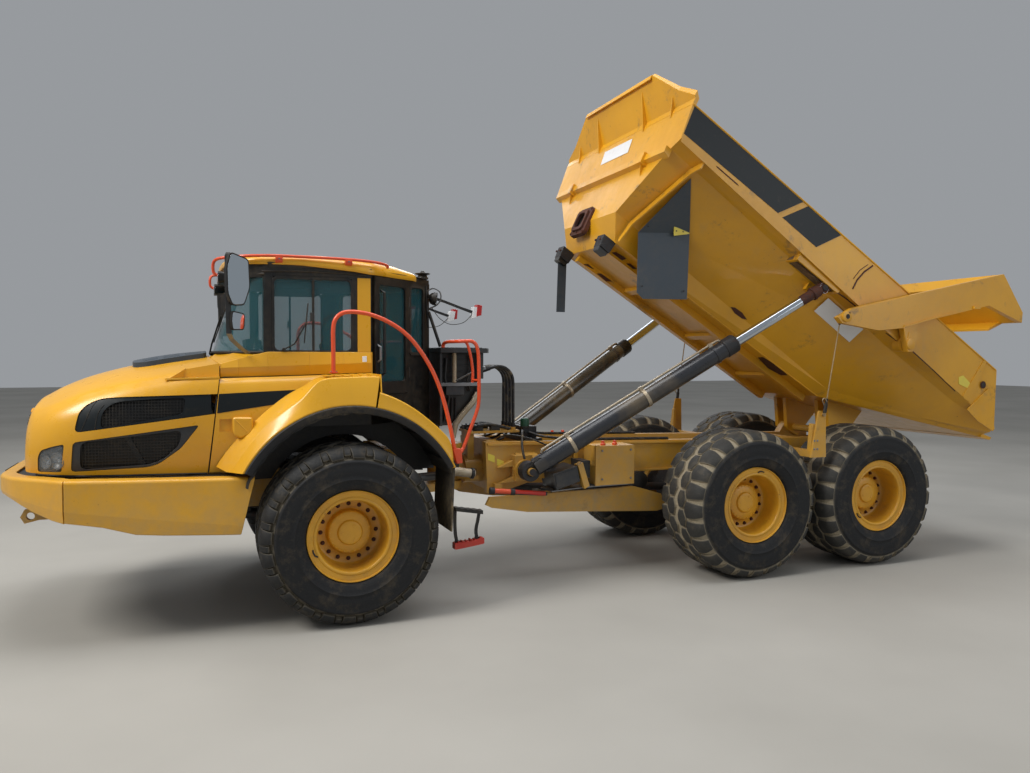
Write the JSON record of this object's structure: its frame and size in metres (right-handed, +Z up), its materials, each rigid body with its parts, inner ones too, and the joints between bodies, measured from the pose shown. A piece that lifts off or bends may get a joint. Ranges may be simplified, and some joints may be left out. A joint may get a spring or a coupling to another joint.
{
  "type": "articulated dump truck",
  "caption": "Six-wheeled dump truck steered by a hinge between cab and rear frame, with a tipping bed and an overhung tailgate that swings as the bed rises",
  "frame": {"origin": "On the ground, under the middle of the whole length and width with the bed raised as in the rest pose.", "axes": "+X points to the front of the truck, +Y to its left, +Z up."},
  "size_m": [10.641, 3.12, 5.2965],
  "materials": {
    "yellow_paint": "semi-gloss yellow enamel, dusty and chipped",
    "dark_paint": "satin charcoal paint",
    "orange_rail": "semi-gloss orange-red paint",
    "tyre_rubber": "worn dusty tread rubber",
    "black_rubber": "matt black rubber",
    "window_glass": "clear, slightly dusty",
    "seat_fabric": "dark grey cloth",
    "dash_plastic": "grained dark plastic",
    "machinery_iron": "oily grey",
    "chrome_rod": "bright hard chrome",
    "stay_wire": "galvanised, weathered"
  },
  "bodies": {
    "front_unit": {"front_frame": "yellow_paint", "front_axle": "yellow_paint", "engine_and_gearbox": "machinery_iron", "bumper": "yellow_paint", "fenders": "yellow_paint", "mudflaps": "black_rubber", "cab_shell": "yellow_paint", "cab_glass": "window_glass", "cab_seat": "seat_fabric", "cab_dash": "dash_plastic", "cooler_box": "dark_paint", "access_steps": "dark_paint", "handrails": "orange_rail", "mirrors": "dark_paint", "hose_1": "black_rubber", "hose_2": "black_rubber", "hose_3": "black_rubber", "hose_4": "black_rubber"},
    "hood": {"hood": "yellow_paint"},
    "grille": {"grille": "dark_paint"},
    "cab_door": {"cab_door": "dark_paint", "door_glass": "window_glass"},
    "steer_barrel_left": {"steer_barrel_left": "dark_paint"},
    "steer_barrel_right": {"steer_barrel_right": "dark_paint"},
    "steer_rod_left": {"steer_rod_left": "chrome_rod"},
    "steer_rod_right": {"steer_rod_right": "chrome_rod"},
    "hitch": {"hitch_link": "yellow_paint"},
    "rear_unit": {"rear_frame": "yellow_paint", "bogie_beams": "yellow_paint", "rear_axles": "yellow_paint", "side_boxes": "dark_paint"},
    "bed": {"dump_bed": "yellow_paint"},
    "tailgate": {"tailgate": "yellow_paint"},
    "gate_stays": {"gate_stays": "stay_wire"},
    "hoist_barrel_left": {"hoist_barrel_left": "dark_paint"},
    "hoist_barrel_right": {"hoist_barrel_right": "dark_paint"},
    "hoist_rod_left": {"hoist_rod_left": "chrome_rod"},
    "hoist_rod_right": {"hoist_rod_right": "chrome_rod"},
    "wheel_front_left": {"tyre_front_left": "tyre_rubber", "rim_front_left": "yellow_paint"},
    "wheel_front_right": {"tyre_front_right": "tyre_rubber", "rim_front_right": "yellow_paint"},
    "wheel_mid_left": {"tyre_mid_left": "tyre_rubber", "rim_mid_left": "yellow_paint"},
    "wheel_mid_right": {"tyre_mid_right": "tyre_rubber", "rim_mid_right": "yellow_paint"},
    "wheel_rear_left": {"tyre_rear_left": "tyre_rubber", "rim_rear_left": "yellow_paint"},
    "wheel_rear_right": {"tyre_rear_right": "tyre_rubber", "rim_rear_right": "yellow_paint"}
  },
  "joints": [
    {"name": "steer", "type": "hinge", "parent": "front_unit", "child": "hitch", "pos_m": [1.3465, 0, 1.11], "axis": [0, 0, 1], "range_deg": [-45, 45]},
    {"name": "hitch_roll", "type": "hinge", "parent": "hitch", "child": "rear_unit", "pos_m": [0.6565, 0, 1.11], "axis": [1, 0, 0], "range_deg": [-15, 15]},
    {"name": "wheel_front_left_spin", "type": "hinge", "parent": "front_unit", "child": "wheel_front_left", "pos_m": [2.5565, 1.108, 0.775], "axis": [0, 1, 0], "continuous": true},
    {"name": "wheel_front_right_spin", "type": "hinge", "parent": "front_unit", "child": "wheel_front_right", "pos_m": [2.5565, -1.108, 0.775], "axis": [0, 1, 0], "continuous": true},
    {"name": "wheel_mid_left_spin", "type": "hinge", "parent": "rear_unit", "child": "wheel_mid_left", "pos_m": [-1.6185, 1.108, 0.775], "axis": [0, 1, 0], "continuous": true},
    {"name": "wheel_mid_right_spin", "type": "hinge", "parent": "rear_unit", "child": "wheel_mid_right", "pos_m": [-1.6185, -1.108, 0.775], "axis": [0, 1, 0], "continuous": true},
    {"name": "wheel_rear_left_spin", "type": "hinge", "parent": "rear_unit", "child": "wheel_rear_left", "pos_m": [-3.2885, 1.108, 0.775], "axis": [0, 1, 0], "continuous": true},
    {"name": "wheel_rear_right_spin", "type": "hinge", "parent": "rear_unit", "child": "wheel_rear_right", "pos_m": [-3.2885, -1.108, 0.775], "axis": [0, 1, 0], "continuous": true},
    {"name": "bed_tip", "type": "hinge", "parent": "rear_unit", "child": "bed", "pos_m": [-3.5435, 0, 1.4], "axis": [0, -1, 0], "range_deg": [-31.8, 38.2]},
    {"name": "tailgate_swing", "type": "hinge", "parent": "bed", "child": "tailgate", "pos_m": [-3.56745, 0, 2.46529], "axis": [0, -1, 0], "range_deg": [-45.4, 37.8]},
    {"name": "gate_stays_swing", "type": "hinge", "parent": "rear_unit", "child": "gate_stays", "pos_m": [-2.4835, 0, 1.7], "axis": [0, -1, 0], "range_deg": [-31.34, 37.65]},
    {"name": "hoist_barrel_left_swing", "type": "hinge", "parent": "rear_unit", "child": "hoist_barrel_left", "pos_m": [0.6415, 0.7, 1.149], "axis": [0.3978, 0.8459, 0.3552], "range_deg": [-7.63, 9.16]},
    {"name": "hoist_rod_left_slide", "type": "slide", "parent": "hoist_barrel_left", "child": "hoist_rod_left", "axis": [-0.8396, 0.1796, 0.5127], "range_m": [-0.9917, 1.1911]},
    {"name": "hoist_barrel_right_swing", "type": "hinge", "parent": "rear_unit", "child": "hoist_barrel_right", "pos_m": [0.6415, -0.7, 1.149], "axis": [-0.3978, 0.8459, -0.3552], "range_deg": [-7.63, 9.16]},
    {"name": "hoist_rod_right_slide", "type": "slide", "parent": "hoist_barrel_right", "child": "hoist_rod_right", "axis": [-0.8396, -0.1796, 0.5127], "range_m": [-0.9917, 1.1911]},
    {"name": "hood_open", "type": "hinge", "parent": "front_unit", "child": "hood", "pos_m": [3.6865, 0, 2.335], "axis": [0, -1, 0], "range_deg": [0, 80]},
    {"name": "grille_open", "type": "hinge", "parent": "front_unit", "child": "grille", "pos_m": [5.0645, 0, 1.375], "axis": [0, 1, 0], "range_deg": [0, 85]},
    {"name": "door_open", "type": "hinge", "parent": "front_unit", "child": "cab_door", "pos_m": [1.8624, 0.614, 2.5], "axis": [0, 0, 1], "range_deg": [0, 65]},
    {"name": "steer_barrel_left_swing", "type": "hinge", "parent": "front_unit", "child": "steer_barrel_left", "pos_m": [2.3065, 0.64, 1.105], "axis": [0, 0, 1], "range_deg": [-4.7, 4.7]},
    {"name": "steer_rod_left_slide", "type": "slide", "parent": "steer_barrel_left", "child": "steer_rod_left", "axis": [-0.9518, -0.3068, 0], "range_m": [-0.2308, 0.2308]},
    {"name": "steer_barrel_right_swing", "type": "hinge", "parent": "front_unit", "child": "steer_barrel_right", "pos_m": [2.3065, -0.64, 1.105], "axis": [0, 0, 1], "range_deg": [-4.7, 4.7]},
    {"name": "steer_rod_right_slide", "type": "slide", "parent": "steer_barrel_right", "child": "steer_rod_right", "axis": [-0.9518, 0.3068, 0], "range_m": [-0.2308, 0.2308]}
  ],
  "couplings": [
    {"joint": "tailgate_swing", "follows": "bed_tip", "ratio": -1.188},
    {"joint": "gate_stays_swing", "follows": "bed_tip", "ratio": 0.985},
    {"joint": "hoist_barrel_left_swing", "follows": "bed_tip", "ratio": 0.23927},
    {"joint": "hoist_rod_left_slide", "follows": "bed_tip", "m_per_rad": 1.785},
    {"joint": "steer_barrel_left_swing", "follows": "steer", "ratio": 0.104},
    {"joint": "steer_rod_left_slide", "follows": "steer", "m_per_rad": 0.2926},
    {"joint": "hoist_barrel_right_swing", "follows": "bed_tip", "ratio": 0.23927},
    {"joint": "hoist_rod_right_slide", "follows": "bed_tip", "m_per_rad": 1.785},
    {"joint": "steer_barrel_right_swing", "follows": "steer", "ratio": 0.104},
    {"joint": "steer_rod_right_slide", "follows": "steer", "m_per_rad": -0.2926}
  ]
}
